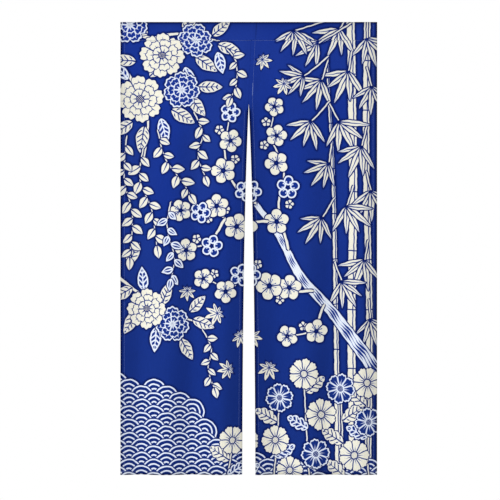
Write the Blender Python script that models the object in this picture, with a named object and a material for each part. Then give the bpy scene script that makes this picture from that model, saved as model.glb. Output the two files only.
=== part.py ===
"""A noren: a split doorway curtain of two printed cloths, hung from its rod pocket.

Metres, +Z up. The origin is the middle of the top edge and the cloth hangs down to
z = -DROP. X runs across the doorway and the printed front faces -Y. A height given
as "down" is measured down from the top edge.
"""
import bpy
import numpy as np

# The sewn curtain, laid flat
WIDTH = 0.850
DROP = 1.500
PANEL_WIDTH = WIDTH / 2
POCKET = 0.060
SEAM_END = 0.270

# The cloth, and its hems, which are turned to the back
CLOTH = 0.0013
HEM_EXTRA = 0.0008
HEM_EDGE = 0.0008
SIDE_HEM = 0.015
SLIT_HEM = 0.014
FOOT_HEM = 0.014
GAP = 0.0003

# The seam: the right cloth's edge lies over the left cloth's and is sewn to it
LAP = 0.003
LAP_DEPTH = (CLOTH + HEM_EXTRA + GAP) / 2
LAP_SETTLES = 0.034
LAP_FADES = 0.130

# The slit: how far each edge draws aside, and the height over which it does so
SLIT_REACH = 0.024
SLIT_EASE = 0.500

# The folds start flat under the pocket and deepen over this height
FOLDS_DEEPEN = 0.420
FOLDS_SHIFT_FROM = 0.500

# Turning points of the folds, from the outer edge (0) to the slit (1) of a cloth.
# Columns: place and depth at mid height, place and depth at the foot.
# Depths are in metres, and towards the back is positive.
LEFT_FOLDS = (
    (0.00, -0.0045, 0.00, -0.0050),
    (0.20, 0.0115, 0.16, 0.0125),
    (0.43, -0.0155, 0.37, -0.0140),
    (0.63, 0.0110, 0.60, 0.0145),
    (0.84, -0.0115, 0.82, -0.0130),
    (1.00, 0.0065, 1.00, 0.0095),
)
RIGHT_FOLDS = (
    (0.00, 0.0035, 0.00, 0.0050),
    (0.13, -0.0100, 0.15, -0.0115),
    (0.33, 0.0130, 0.35, 0.0145),
    (0.59, -0.0155, 0.56, -0.0135),
    (0.81, 0.0120, 0.79, 0.0145),
    (1.00, -0.0065, 1.00, -0.0105),
)

# The empty pocket: its walls stand apart by these depths, more at its open ends
FRONT_SWELL = 0.0045
BACK_SWELL = 0.0170
POCKET_SLOT = 0.0003
POCKET_FOOT = 0.005
POCKET_FOOT_SHARE = 0.5
POCKET_POINTS = 9
# Columns: place across the curtain, swell there as a share of the depths above
POCKET_SWELLS = (
    (-WIDTH / 2, 1.20),
    (-0.28, 0.90),
    (-0.10, 1.08),
    (0.07, 0.90),
    (0.24, 1.10),
    (0.33, 0.92),
    (WIDTH / 2, 1.18),
)
POCKET_STATIONS = 22

# Where the mesh has its lines, between the lines that the hems need
FOLD_COLUMNS = 21
SEAM_ROWS = (0.160, 0.245, 0.270, 0.300, 0.340, 0.400)
LOWER_ROWS = 10

# Cotton cloth, printed blue
CLOTH_COLOUR = (0.0097, 0.0319, 0.2423, 1.0)
CLOTH_ROUGHNESS = 0.85


def smooth_step(start, end, value):
    """0 before start, 1 after end, and a cubic ease between them."""
    share = np.clip((value - start) / (end - start), 0.0, 1.0)
    return share * share * (3.0 - 2.0 * share)


def slit_half_gap(down):
    """How far each slit edge stands from the middle: an even ease towards SLIT_REACH."""
    below = np.maximum(down - SEAM_END, 0.0)
    return SLIT_REACH * (1.0 - np.exp(-below / SLIT_EASE))


def fold_depth(folds, across, down):
    """Depth of the folds at one height: half cosine waves from each turning point to the next.

    The places and depths move from the mid-height columns to the foot columns. All depths
    start at 0 under the pocket, and the slit edge stays flat as far as the seam goes.
    """
    table = np.array(folds)
    shift = smooth_step(FOLDS_SHIFT_FROM, DROP, down)
    places = table[:, 0] * (1.0 - shift) + table[:, 2] * shift
    depths = table[:, 1] * (1.0 - shift) + table[:, 3] * shift
    depths = depths * (1.0 - np.exp(-(((down - POCKET) / FOLDS_DEEPEN) ** 1.5)))
    depths[-1] *= smooth_step(SEAM_END, DROP, down)
    left = np.clip(np.searchsorted(places, across, side="right") - 1, 0, len(places) - 2)
    share = (across - places[left]) / (places[left + 1] - places[left])
    return depths[left] + (depths[left + 1] - depths[left]) * (1.0 - np.cos(np.pi * share)) / 2.0


def closed_sheet(name, front, back):
    """A closed mesh between two grids of points, one in front of the other, with a rim."""
    rows, columns = front.shape[:2]
    vertices = np.concatenate([front.reshape(-1, 3), back.reshape(-1, 3)])
    behind = rows * columns
    faces = []
    for row in range(rows - 1):
        for column in range(columns - 1):
            corner = row * columns + column
            faces.append((corner, corner + columns, corner + columns + 1, corner + 1))
            corner += behind
            faces.append((corner, corner + 1, corner + columns + 1, corner + columns))
    top = list(range(columns))
    right = [row * columns + columns - 1 for row in range(rows)]
    foot = [(rows - 1) * columns + column for column in range(columns)]
    left = [row * columns for row in range(rows)]
    rim = top[:-1] + right[:-1] + foot[:0:-1] + left[:0:-1]
    for here, after in zip(rim, rim[1:] + rim[:1]):
        faces.append((here, after, after + behind, here + behind))
    mesh = bpy.data.meshes.new(name)
    mesh.from_pydata(vertices.tolist(), [], faces)
    mesh.update()
    return mesh


def hemmed_lines(length, start_hem, end_hem, between):
    """Places of the mesh's lines over a hemmed length, with a close pair at each hem's edge."""
    lines = [0.0] if start_hem == 0.0 else [0.0, start_hem, start_hem + HEM_EDGE]
    inner_end = length - end_hem - HEM_EDGE
    lines += [place for place in between if lines[-1] < place < inner_end]
    return np.array(lines + [inner_end, length - end_hem, length])


def panel_mesh(name, side, folds):
    """One cloth below the pocket. side is -1 for the left cloth and 1 for the right one."""
    even = np.linspace(0.0, PANEL_WIDTH, FOLD_COLUMNS + 2)[1:-1]
    settle = PANEL_WIDTH - LAP_SETTLES
    lap_flat = PANEL_WIDTH - SLIT_HEM / 2
    flat = hemmed_lines(PANEL_WIDTH, SIDE_HEM, SLIT_HEM, sorted([*even, settle]))
    flat = np.sort(np.append(flat, lap_flat))
    lower = np.linspace(SEAM_ROWS[-1], DROP, LOWER_ROWS + 1)[1:-1]
    start = POCKET + GAP
    heights = [place - start for place in (*SEAM_ROWS, *lower)]
    downs = start + hemmed_lines(DROP - start, 0.0, FOOT_HEM, heights)
    across = flat / PANEL_WIDTH
    in_side_hems = (flat <= SIDE_HEM) | (flat >= PANEL_WIDTH - SLIT_HEM)
    front = np.zeros((len(downs), len(flat), 3))
    back = np.zeros_like(front)
    for row, down in enumerate(downs):
        # The left cloth's edge lies behind the right one's as far as the seam goes.
        lap = LAP * (1.0 - smooth_step(SEAM_ROWS[1], SEAM_END, down)) if side < 0 else 0.0
        inner = slit_half_gap(down) - lap
        seam = 1.0 - smooth_step(SEAM_END, SEAM_END + LAP_FADES, down)
        set_off = -side * LAP_DEPTH * seam * smooth_step(settle, lap_flat, flat)
        hemmed = in_side_hems | (down >= DROP - FOOT_HEM)
        x = side * (WIDTH / 2 - across * (WIDTH / 2 - inner))
        y = fold_depth(folds, across, down) + set_off
        front[row] = np.stack([x, y - CLOTH / 2, np.full_like(x, -down)], axis=1)
        back[row] = front[row]
        back[row, :, 1] = y + CLOTH / 2 + HEM_EXTRA * hemmed
    if side > 0:
        # The right cloth is counted from its outer edge, so its columns are turned round.
        front = front[:, ::-1]
        back = back[:, ::-1]
    return closed_sheet(name, front, back)


def pocket_loops(swell):
    """The pocket's outline and the outline of its opening, as (y, z) loops.

    An angle runs from the sewn foot to the top fold. Height follows its cosine and depth
    its sine, which is held back near the foot where the walls are sewn together.
    """
    angle = np.linspace(0.0, np.pi, POCKET_POINTS)
    height = (1.0 - np.cos(angle)) / 2.0
    bulge = np.sin(angle) * (POCKET_FOOT_SHARE + (1.0 - POCKET_FOOT_SHARE) * height) * swell
    inner_z = -POCKET + POCKET_FOOT + height * (POCKET - POCKET_FOOT - CLOTH)
    outer_z = -POCKET + height * POCKET
    front = POCKET_SLOT + FRONT_SWELL * bulge
    back = POCKET_SLOT + BACK_SWELL * bulge
    opening = np.concatenate([
        np.stack([-front, inner_z], axis=1),
        np.stack([back, inner_z], axis=1)[::-1],
    ])
    outline = np.concatenate([
        np.stack([-front - CLOTH, outer_z], axis=1),
        np.stack([back + CLOTH, outer_z], axis=1)[::-1],
    ])
    return outline, opening


def heading_mesh(name):
    """The pocket's loops carried along X, joined into one tube that is open at both ends."""
    table = np.array(POCKET_SWELLS)
    stations = np.linspace(-WIDTH / 2, WIDTH / 2, POCKET_STATIONS)
    points = 2 * POCKET_POINTS
    vertices = []
    faces = []
    for x in stations:
        for loop in pocket_loops(np.interp(x, table[:, 0], table[:, 1])):
            vertices += [(x, y, z) for y, z in loop.tolist()]
    for station in range(POCKET_STATIONS - 1):
        for point in range(points):
            after = (point + 1) % points
            here = station * 2 * points
            there = here + 2 * points
            faces.append((here + point, there + point, there + after, here + after))
            here += points
            there += points
            faces.append((here + point, here + after, there + after, there + point))
    last = (POCKET_STATIONS - 1) * 2 * points
    for point in range(points):
        after = (point + 1) % points
        faces.append((point, after, points + after, points + point))
        faces.append((last + point, last + points + point, last + points + after, last + after))
    mesh = bpy.data.meshes.new(name)
    mesh.from_pydata(vertices, [], faces)
    mesh.update()
    return mesh


def cloth_material(name):
    """Matt cotton in the print's ground colour."""
    material = bpy.data.materials.new(name)
    material.use_nodes = True
    shader = material.node_tree.nodes["Principled BSDF"]
    shader.inputs["Base Color"].default_value = CLOTH_COLOUR
    shader.inputs["Roughness"].default_value = CLOTH_ROUGHNESS
    shader.inputs["Metallic"].default_value = 0.0
    return material


def add_piece(name, mesh):
    """One named piece with a material of its own, smooth over the folds."""
    mesh.shade_smooth()
    mesh.set_sharp_from_angle(angle=np.radians(40.0))
    mesh.materials.append(cloth_material(name))
    piece = bpy.data.objects.new(name, mesh)
    bpy.context.scene.collection.objects.link(piece)
    return piece


def build():
    """The rod pocket, and the two cloths that hang below it."""
    for old in list(bpy.data.objects):
        bpy.data.objects.remove(old, do_unlink=True)
    add_piece("heading", heading_mesh("heading"))
    add_piece("panel_left", panel_mesh("panel_left", -1, LEFT_FOLDS))
    add_piece("panel_right", panel_mesh("panel_right", 1, RIGHT_FOLDS))


build()
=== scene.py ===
from collections import namedtuple

import bpy
import numpy as np
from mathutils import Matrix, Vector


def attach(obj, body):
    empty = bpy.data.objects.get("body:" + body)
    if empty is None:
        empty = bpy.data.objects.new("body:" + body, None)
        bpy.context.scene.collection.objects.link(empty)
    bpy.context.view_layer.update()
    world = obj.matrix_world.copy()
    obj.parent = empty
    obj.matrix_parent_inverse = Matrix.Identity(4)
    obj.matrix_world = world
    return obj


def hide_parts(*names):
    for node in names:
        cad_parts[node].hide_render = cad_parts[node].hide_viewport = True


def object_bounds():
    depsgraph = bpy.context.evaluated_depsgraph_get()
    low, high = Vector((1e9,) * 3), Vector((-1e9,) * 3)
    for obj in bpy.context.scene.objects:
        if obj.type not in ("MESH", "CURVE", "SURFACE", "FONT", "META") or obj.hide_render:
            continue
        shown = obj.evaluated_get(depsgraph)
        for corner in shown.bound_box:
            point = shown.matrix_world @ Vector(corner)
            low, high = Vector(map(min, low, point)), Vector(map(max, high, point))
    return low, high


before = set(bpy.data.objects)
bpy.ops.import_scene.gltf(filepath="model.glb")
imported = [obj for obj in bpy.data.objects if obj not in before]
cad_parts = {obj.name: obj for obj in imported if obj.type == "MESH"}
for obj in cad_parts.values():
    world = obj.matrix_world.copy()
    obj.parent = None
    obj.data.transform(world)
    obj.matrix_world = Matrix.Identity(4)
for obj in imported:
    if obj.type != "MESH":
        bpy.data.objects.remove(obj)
cad_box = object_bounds()

# The photographer's end: a long lens square to the curtain, white paper all round, broad
# soft lights, and a pale floor that ends below the picture.
FRAME_PIXELS = 500
METRES_PER_PIXEL = 0.003312
CURTAIN_TOP_PIXEL = 22.0
CURTAIN_MIDDLE_PIXEL = 248.8
LENS_MM, SENSOR_MM = 200.0, 36.0
PAPER_WHITE, WORLD_LIGHT = (1.0, 1.0, 1.0, 1.0), 0.43
FLOOR_BELOW, FLOOR_RADIUS, FLOOR_SIDES = 0.42, 1.9, 96
FLOOR_GREY, FLOOR_ROUGHNESS = (0.8, 0.8, 0.8, 1.0), 0.9
# Lights: name, place, what it points at, side of its square, watts
LIGHTS = (
    ("front_light", (-2.9, -3.6, 0.0), (0.0, 0.0, -0.8), 1.8, 143.0),
    ("side_light", (2.6, -4.2, -0.9), (0.0, 0.0, -1.1), 2.4, 50.0),
    ("back_light", (0.8, 4.2, 1.2), (0.0, 0.0, -0.7), 2.4, 90.0),
)


def put_in_scene(name, data):
    """A new object that holds a mesh, a light or a camera, linked to the scene."""
    made = bpy.data.objects.new(name, data)
    bpy.context.scene.collection.objects.link(made)
    return made


view_width = FRAME_PIXELS * METRES_PER_PIXEL
view_x = (FRAME_PIXELS / 2 - CURTAIN_MIDDLE_PIXEL) * METRES_PER_PIXEL
view_z = -(FRAME_PIXELS / 2 - CURTAIN_TOP_PIXEL) * METRES_PER_PIXEL
camera_data = bpy.data.cameras.new("camera")
camera_data.lens = LENS_MM
camera_data.sensor_width = SENSOR_MM
camera = put_in_scene("camera", camera_data)
camera.location = (view_x, -view_width * LENS_MM / SENSOR_MM, view_z)
camera.rotation_euler = (np.pi / 2, 0.0, 0.0)
bpy.context.scene.camera = camera
bpy.context.scene.view_settings.view_transform = "Standard"

for name, place, aim, side, watts in LIGHTS:
    data = bpy.data.lights.new(name, "AREA")
    data.size = side
    data.energy = watts
    light = put_in_scene(name, data)
    light.location = place
    # A light shines along its own -Z axis, so that axis is turned towards aim.
    ahead = np.array(aim) - np.array(place)
    tilt = np.arctan2(np.hypot(ahead[0], ahead[1]), -ahead[2])
    light.rotation_euler = (tilt, 0.0, np.arctan2(-ahead[0], ahead[1]))

world = bpy.data.worlds.new("studio")
world.use_nodes = True
bpy.context.scene.world = world
world_nodes = world.node_tree.nodes
paper = world_nodes["Background"]
paper.inputs["Color"].default_value = PAPER_WHITE
seen = world_nodes.new("ShaderNodeLightPath")
glow = world_nodes.new("ShaderNodeMapRange")
glow.inputs["To Min"].default_value = WORLD_LIGHT
glow.inputs["To Max"].default_value = 1.0
world.node_tree.links.new(seen.outputs["Is Camera Ray"], glow.inputs["Value"])
world.node_tree.links.new(glow.outputs["Result"], paper.inputs["Strength"])

floor_turn = np.linspace(0.0, 2.0 * np.pi, FLOOR_SIDES, endpoint=False)
floor_z = np.full(FLOOR_SIDES, cad_box[0][2] - FLOOR_BELOW)
floor_rim = np.stack([FLOOR_RADIUS * np.cos(floor_turn), FLOOR_RADIUS * np.sin(floor_turn), floor_z], axis=1)
floor_mesh = bpy.data.meshes.new("floor")
floor_mesh.from_pydata(floor_rim.tolist(), [], [list(range(FLOOR_SIDES))])
floor_paint = bpy.data.materials.new("floor")
floor_paint.use_nodes = True
floor_shader = floor_paint.node_tree.nodes["Principled BSDF"]
floor_shader.inputs["Base Color"].default_value = FLOOR_GREY
floor_shader.inputs["Roughness"].default_value = FLOOR_ROUGHNESS
floor_mesh.materials.append(floor_paint)
floor = put_in_scene("floor", floor_mesh)

# The two cloths: lengths of plain-weave cotton with a doubled hem down both sides and
# along the foot, printed cream on blue. They are sewn edge over edge at the top, and
# below the seam they draw apart into soft upright folds.
WIDTH, DROP, POCKET, SEAM_END = 0.850, 1.500, 0.060, 0.270
PANEL_WIDTH = WIDTH / 2
SIDE_HEM, SLIT_HEM, FOOT_HEM = 0.015, 0.014, 0.014
STITCH_INSIDE_HEM = 0.0015
CLOTH, HEM_EXTRA = 0.0007, 0.0012
HEM_ROLL, HEM_ROLL_LEAST = 0.0016, 0.04
STITCHES_SINK, STITCHES_SINK_WIDTH = 0.00025, 0.0011
LAP, LAP_DEPTH, LAP_SETTLES, LAP_FADES = 0.003, 0.0012, 0.034, 0.130
SEAM_LEAN, SEAM_LEAN_POWER, SEAM_SLACK_FROM = 0.0118, 1.25, 0.245
SLIT_REACH, SLIT_EASE = 0.024, 0.500
SLIT_CURL, SLIT_CURL_WIDTH, SLIT_CURL_GROWS = 0.0024, 0.024, 0.08
FOLDS_DEEPEN, FOLDS_DEEPEN_POWER, FOLDS_SHIFT_FROM = 0.420, 1.5, 0.500
PUCKER, PUCKER_WIDTH = 0.00016, 0.009
# Sines of the small waves beside stitches: share of the height, radians per metre, start
PUCKER_WAVES = ((1.0, 459.0, 0.0), (0.8, 271.0, 1.3), (0.6, 643.0, 2.0))
FOOT_PUCKERS_CLOSER = 1.1
SLACK, SLACK_GROWS, SLACK_ACROSS, SLACK_DOWN, SLACK_SLANT = 0.0007, 0.05, 17.0, 13.0, 3.0
PULL, PULLS_FROM, PULLS_WIDE, PULLS_COUNT, PULLS_SHIFT = 0.0016, 0.075, 0.055, 5.5, 0.8
PULL_ROUND = 0.004
CELL = 0.0042
ROUNDING = 1e-6

# Turning points of the folds from the outer edge (0) to the slit (1) of a cloth.
# Columns: place and depth at mid height, place and depth at the foot.
LEFT_FOLDS = (
    (0.00, -0.0045, 0.00, -0.0050),
    (0.20, 0.0115, 0.16, 0.0125),
    (0.43, -0.0155, 0.37, -0.0140),
    (0.63, 0.0110, 0.60, 0.0145),
    (0.84, -0.0115, 0.82, -0.0130),
    (1.00, 0.0065, 1.00, 0.0095),
)
RIGHT_FOLDS = (
    (0.00, 0.0035, 0.00, 0.0050),
    (0.13, -0.0100, 0.15, -0.0115),
    (0.33, 0.0130, 0.35, 0.0145),
    (0.59, -0.0155, 0.56, -0.0135),
    (0.81, 0.0120, 0.79, 0.0145),
    (1.00, -0.0065, 1.00, -0.0105),
)


def smooth_step(start, end, value):
    """0 before start, 1 after end, and a cubic ease between them."""
    share = np.clip((value - start) / (end - start), 0.0, 1.0)
    return share * share * (3.0 - 2.0 * share)


def fold_depth(folds, across, down):
    """Depth of the folds: half cosine waves from each turning point to the next.

    The turning points move from their mid-height columns to their foot columns. Depths
    start at 0 under the pocket, and the slit edge stays flat as far as the seam goes.
    """
    table = np.array(folds)
    shift = smooth_step(FOLDS_SHIFT_FROM, DROP, down)[:, None]
    places = table[:, 0] * (1.0 - shift) + table[:, 2] * shift
    depths = table[:, 1] * (1.0 - shift) + table[:, 3] * shift
    start = np.maximum(down - POCKET, 0.0)[:, None]
    depths = depths * (1.0 - np.exp(-((start / FOLDS_DEEPEN) ** FOLDS_DEEPEN_POWER)))
    depths[:, -1] *= smooth_step(SEAM_END, DROP, down)
    depth = np.zeros((len(down), len(across)))
    for fold in range(len(table) - 1):
        begin, end = places[:, fold, None], places[:, fold + 1, None]
        share = np.clip((across[None, :] - begin) / (end - begin), 0.0, 1.0)
        rise = (depths[:, fold + 1] - depths[:, fold])[:, None]
        depth += rise * (1.0 - np.cos(np.pi * share)) / 2.0
    return depth + depths[:, :1]


def sewn_pucker(along, from_stitch):
    """Small waves beside a row of stitches: three sines along it, fading away from it."""
    wave = sum(share * np.sin(along * turns + start) for share, turns, start in PUCKER_WAVES)
    return PUCKER * wave * np.exp(-((from_stitch / PUCKER_WIDTH) ** 2))


def seam_lean(down):
    """How far the seam leans to the right: most at the top edge, none where the slit starts."""
    return SEAM_LEAN * np.maximum(1.0 - down / SEAM_END, 0.0) ** SEAM_LEAN_POWER


def hung_cloth(side, folds, flat, down):
    """The middle of a cloth's thickness, as a grid of points: rows go down, columns from
    the outer edge to the slit.

    Across, a point keeps its share of the width between the straight outer edge and the
    slit's edge, which eases away from the middle. Its depth is the folds', with small
    waves along the hems, a little slack and soft pulls that fan out from where the slit
    begins. Near the seam the left cloth is set behind the right one, and below it the
    right cloth's edge curls forward.
    """
    across, level = (flat / PANEL_WIDTH)[None, :], down[:, None]
    gap = SLIT_REACH * (1.0 - np.exp(-np.maximum(level - SEAM_END, 0.0) / SLIT_EASE))
    lap = LAP * (1.0 - smooth_step(SEAM_SLACK_FROM, SEAM_END, level)) if side < 0 else 0.0
    inner = gap - lap + side * seam_lean(level)
    seam = 1.0 - smooth_step(SEAM_END, SEAM_END + LAP_FADES, level)
    near_seam = smooth_step(PANEL_WIDTH - LAP_SETTLES, PANEL_WIDTH - SLIT_HEM / 2, flat)[None, :]
    x = side * (WIDTH / 2 - across * (WIDTH / 2 - inner))
    y = fold_depth(folds, flat / PANEL_WIDTH, down) - side * LAP_DEPTH * seam * near_seam
    hung = smooth_step(POCKET, POCKET + SLACK_GROWS, level)
    for stitch in (SIDE_HEM, PANEL_WIDTH - SLIT_HEM):
        y += sewn_pucker(level + side, flat[None, :] - stitch) * hung
    y += sewn_pucker(flat[None, :] * FOOT_PUCKERS_CLOSER, level - DROP + FOOT_HEM)
    slack = np.sin(across * SLACK_ACROSS + side + SLACK_SLANT * level) * np.sin(level * SLACK_DOWN + side)
    y += SLACK * hung * slack
    reach = np.hypot(x, level - SEAM_END)
    angle = np.arctan2(level - SEAM_END, np.abs(x) + PULL_ROUND)
    fan = np.exp(-(((reach - PULLS_FROM) / PULLS_WIDE) ** 2))
    y += PULL * hung * np.sin(angle * PULLS_COUNT + PULLS_SHIFT * side) * fan * (1.0 - near_seam)
    if side > 0:
        curl = np.maximum(1.0 - (PANEL_WIDTH - flat) / SLIT_CURL_WIDTH, 0.0)[None, :] ** 2
        y -= SLIT_CURL * curl * smooth_step(SEAM_END, SEAM_END + SLIT_CURL_GROWS, level)
    return np.stack([x, y, np.broadcast_to(-level, x.shape)], axis=2)


def cloth_lines(length, start_hem, end_hem):
    """Places of the mesh's lines over a length: even cells, and closer lines over each hem's
    rolled edge, its stitches and its inner edge."""
    hem_lines = np.array([0.0, 0.0003, 0.0008, 0.0018, 0.0050, 0.0085])
    stitch_lines = np.array([-0.0042, -0.0027, -0.0015, -0.0005, 0.0, 0.0006])
    start = np.concatenate([hem_lines, stitch_lines + start_hem]) if start_hem else np.zeros(1)
    end = length - np.concatenate([hem_lines, stitch_lines + end_hem])[::-1]
    cells = round((end[0] - start[-1]) / CELL)
    return np.concatenate([start, np.linspace(start[-1], end[0], cells + 1)[1:-1], end])


def rolled_edge(from_edge):
    """A quarter circle from the edge inwards: about a quarter at the edge, and 1 past the roll."""
    return np.sqrt(1.0 - (1.0 - np.clip(from_edge / HEM_ROLL, HEM_ROLL_LEAST, 1.0)) ** 2)


def hem_section(from_edge, hem):
    """(front, back) distances of a hemmed cloth's faces from its middle.

    The edge is rolled: a half ellipse of the hem's whole thickness. The back steps in
    where the hem ends, and both faces sink a little along the row of stitches.
    """
    inside = from_edge <= hem + ROUNDING
    roll = rolled_edge(from_edge)
    from_stitch = from_edge - hem + STITCH_INSIDE_HEM
    sunk = STITCHES_SINK * np.exp(-((from_stitch / STITCHES_SINK_WIDTH) ** 2))
    centre = -HEM_EXTRA / 2
    front = centre + (CLOTH / 2 - centre) * roll - sunk
    back = centre + (-CLOTH / 2 - HEM_EXTRA - centre) * roll + sunk
    return np.where(inside, front, CLOTH / 2 - sunk), np.where(inside, back, -CLOTH / 2 + sunk)


def beside(middle, offset):
    """A grid moved off its middle along its own normals, by an offset for each point."""
    normal = np.cross(np.gradient(middle, axis=0), np.gradient(middle, axis=1))
    normal /= np.linalg.norm(normal, axis=2, keepdims=True)
    return middle + normal * offset[..., None]


# The print is cut like a paper stencil: every leaf, flower and stem is a motif with its
# own outline, laid over the ones before it with a blue line left round it. An outline is
# a sum that works on arrays, to find which faces a motif touches, and on the Math nodes
# of the cloth's material, which draw it. In it a motif has size 1 and lies along x.
CUT = 0.0036
SOFT_EDGE, TRIMMED = 0.0010, 0.0004
OUTLINE = 0.0052
LINE, LINE_WIDER_IN_OPEN = 0.0019, 0.0004
HALO = 0.0095
VEIN_PITCH = 0.0165
LAYERS = 4
STEM, LEAF, TOOTHED, BLOSSOM, COSMOS, CAMELLIA, MAPLE, WAVE = range(1, 9)
SOLID, OPEN = 0, 1
BLOSSOM_PETALS, MAPLE_LOBES = 5, 8
TIP_NOTCH = 0.028


class Wire:
    """A number in a node tree. Arithmetic on it adds Math nodes."""

    def __init__(self, tree, socket):
        self.tree = tree
        self.socket = socket

    def __add__(self, other):
        return worked("ADD", self, other)

    def __sub__(self, other):
        return worked("SUBTRACT", self, other)

    def __rsub__(self, other):
        return worked("SUBTRACT", other, self)

    def __mul__(self, other):
        return worked("MULTIPLY", self, other)

    def __truediv__(self, other):
        return worked("DIVIDE", self, other)

    def __rtruediv__(self, other):
        return worked("DIVIDE", other, self)

    def __pow__(self, other):
        return worked("POWER", self, other)

    def __abs__(self):
        return worked("ABSOLUTE", self)

    __radd__ = __add__
    __rmul__ = __mul__


ON_ARRAYS = {"SINE": np.sin, "COSINE": np.cos, "ARCTAN2": np.arctan2, "FLOOR": np.floor,
             "MINIMUM": np.minimum, "MAXIMUM": np.maximum}


def worked(operation, *values):
    """One sum, on arrays or, where a value is a Wire, as a Math node."""
    wires = [value for value in values if isinstance(value, Wire)]
    if not wires:
        return ON_ARRAYS[operation](*values)
    tree = wires[0].tree
    node = tree.nodes.new("ShaderNodeMath")
    node.operation = operation
    for slot, value in enumerate(values):
        set_or_link(tree, node.inputs[slot], value)
    return Wire(tree, node.outputs[0])


def set_or_link(tree, socket, value):
    """Feeds a socket from a Wire, or sets it to a constant."""
    if isinstance(value, Wire):
        tree.links.new(value.socket, socket)
    else:
        socket.default_value = value


def low(first, second):
    return worked("MINIMUM", first, second)


def high(first, second):
    return worked("MAXIMUM", first, second)


def limited(value):
    """The value, kept between 0 and 1."""
    return low(high(value, 0.0), 1.0)


def sine(value):
    return worked("SINE", value)


def floor_of(value):
    return worked("FLOOR", value)


def less(first, second):
    """1 where first is below second. It is used on Wires alone."""
    return worked("LESS_THAN", first, second)


def reach_of(x, y):
    """Distance from the middle."""
    return (x * x + y * y) ** 0.5


def round_petals(x, y, count, turn):
    """(distance from the middle, place across a petal from -0.5 to 0.5) for petals round a point."""
    reach = reach_of(x, y)
    turns = worked("ARCTAN2", y, x) * (count / (2.0 * np.pi)) + turn
    return reach, turns - floor_of(turns + 0.5)


def within_leaf(half, x, y):
    """How far a point is inside a leaf of length 1 that is half wide to either side there."""
    return half - abs(y) - high(x - 1.0, 0.0) - high(0.0 - x, 0.0)


def leaf_inside(x, y, width):
    """A leaf whose half width is a skewed sine of its length."""
    skew, fullness = 0.8, 0.85
    return within_leaf(sine(limited(x) ** skew * np.pi) ** fullness * width, x, y)


def toothed_inside(x, y, width):
    """The same leaf with round lobes: its half width also swells and dips three times."""
    skew, fullness = 0.9, 0.6
    lobes_close, lobes_start, lobes_deep, least = 3.5 * np.pi, 0.4, 0.42, 0.62
    along = limited(x)
    lobes = abs(sine(along * lobes_close + lobes_start)) ** 0.5 * lobes_deep + least
    return within_leaf(sine(along ** skew * np.pi) ** fullness * lobes * width, x, y)


def blossom_inside(x, y):
    """Five round petals: in each petal's sector, a circle a little way out from the middle."""
    reach, share = round_petals(x, y, BLOSSOM_PETALS, 0.0)
    petal_radius, petal_at = 0.41, 0.59
    angle = share * (2.0 * np.pi / BLOSSOM_PETALS)
    return petal_radius - reach_of(reach * worked("COSINE", angle) - petal_at, reach * sine(angle))


def ring_inside(x, y, count, radius, turn, notch):
    """A ring of petals whose edge dips between petals and is notched along each tip."""
    reach, share = round_petals(x, y, count, turn)
    roundness, deep = 2.6, 0.17
    dip = (abs(share) * 2.0) ** roundness * deep
    ripple = worked("COSINE", share * (6.0 * np.pi)) * notch
    return (1.0 - dip + ripple) * radius - reach


def maple_inside(x, y):
    """Eight pointed lobes at equal turns, shorter towards the stem at -x."""
    shorter, shortens, web, lobe, lobe_curve = 0.52, 1.2, 0.36, 0.64, 0.95
    reach, share = round_petals(x, y, MAPLE_LOBES, 0.0)
    back = (1.0 - x / high(reach, 0.001)) * 0.5
    size = 1.0 - back ** shortens * shorter
    return size * (web + (1.0 - abs(share) * 2.0) ** lobe_curve * lobe) - reach


def outline_inside(kind, x, y, count):
    """How far a point is inside the outline of any motif but a stem, in shares of its size."""
    if kind == LEAF:
        return leaf_inside(x, y, count)
    if kind == TOOTHED:
        return toothed_inside(x, y, count)
    if kind == BLOSSOM:
        return blossom_inside(x, y)
    if kind == MAPLE:
        return maple_inside(x, y)
    if kind == WAVE:
        return 1.0 - reach_of(x, y)
    return ring_inside(x, y, count, 1.0, 0.0, TIP_NOTCH)


Motif = namedtuple("Motif", "kind at turn size count style path widths")
motifs = []


def add_motif(kind, at, size, turn=0.0, count=0.0, style=SOLID):
    """Lays a motif on the print. Places are in metres, with y up from the top edge; turns in
    degrees. count is a flower's number of petals, or a leaf's half width as a share of its
    length."""
    motifs.append(Motif(kind, np.array(at), np.radians(turn), size, count, style, None, None))


PATH_STEP = 0.006


def curve_through(points):
    """A smooth path through points, with a point about every PATH_STEP metres: a cubic from each
    point to the next, whose slope at a point is half the step between its two neighbours."""
    p = np.array(points, float)
    p = np.concatenate([2 * p[:1] - p[1:2], p, 2 * p[-1:] - p[-2:-1]])
    path = []
    for a, b, c, d in zip(p, p[1:], p[2:], p[3:]):
        t = np.linspace(0.0, 1.0, max(2, round(float(np.hypot(*(c - b))) / PATH_STEP)) + 1)[:-1, None]
        path.append(0.5 * (2 * b + (c - a) * t + (2 * a - 5 * b + 4 * c - d) * t ** 2
                           + (3 * b - a - 3 * c + d) * t ** 3))
    return np.concatenate([*path, p[-2:-1]])


def add_stem(points, start_width, end_width, style=SOLID, joints=0.0):
    """Lays a stem along a smooth path. Widths are half widths at its two ends. joints is the
    distance between a culm's joints, or below 0 for a trunk with bark."""
    path = curve_through(points)
    widths = np.linspace(start_width, end_width, len(path))
    motifs.append(Motif(STEM, path.mean(axis=0), 0.0, 0.0, joints, style, path, widths))
    return path


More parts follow.
